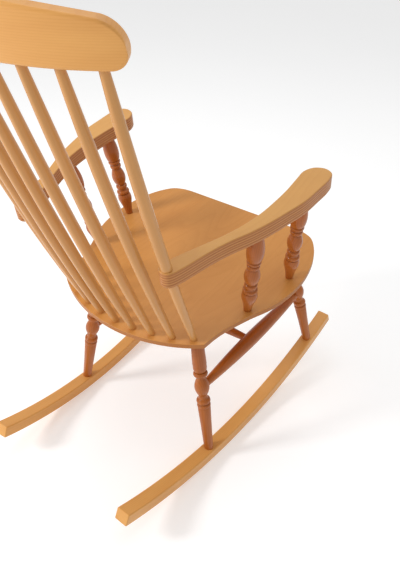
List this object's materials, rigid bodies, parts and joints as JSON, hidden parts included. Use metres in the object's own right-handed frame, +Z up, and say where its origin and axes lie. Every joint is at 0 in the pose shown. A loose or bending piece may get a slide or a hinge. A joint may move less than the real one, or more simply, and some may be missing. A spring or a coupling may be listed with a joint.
{
  "type": "rocking chair",
  "caption": "Spindle-back rocking chair: flat plywood seat, tall curved back, plywood arms on turned posts, splayed turned legs, stretchers and bent rockers",
  "frame": {"origin": "middle of the outer box at floor level, the chair standing on its rockers at rest", "axes": "+Z up, -Y the way the sitter faces, +X the sitter's left; the chair is its own mirror image across x = 0"},
  "size_m": [0.5506, 0.8684, 0.9872],
  "materials": {
    "seat_plywood": "clear satin lacquer over rotary-cut beech plywood",
    "arm_plywood": "clear satin lacquer, laminated edges left showing",
    "turned_beech": "honey-stained turned beech, glossy lacquer",
    "bent_beech": "honey-stained bent beech, satin lacquer"
  },
  "bodies": {
    "root": {"seat": "seat_plywood", "crest_rail": "bent_beech", "cross_stretcher": "turned_beech", "back_spindle_1": "turned_beech", "back_spindle_2": "turned_beech", "back_spindle_3": "turned_beech", "back_spindle_4": "turned_beech", "back_spindle_5": "turned_beech", "back_spindle_6": "turned_beech", "back_spindle_7": "turned_beech", "back_spindle_8": "turned_beech", "back_spindle_9": "turned_beech", "arm_left": "arm_plywood", "rocker_left": "bent_beech", "side_stretcher_left": "turned_beech", "arm_post_front_left": "turned_beech", "leg_front_left": "turned_beech", "arm_post_rear_left": "turned_beech", "leg_rear_left": "turned_beech", "arm_right": "arm_plywood", "rocker_right": "bent_beech", "side_stretcher_right": "turned_beech", "arm_post_front_right": "turned_beech", "leg_front_right": "turned_beech", "arm_post_rear_right": "turned_beech", "leg_rear_right": "turned_beech"}
  },
  "joints": []
}
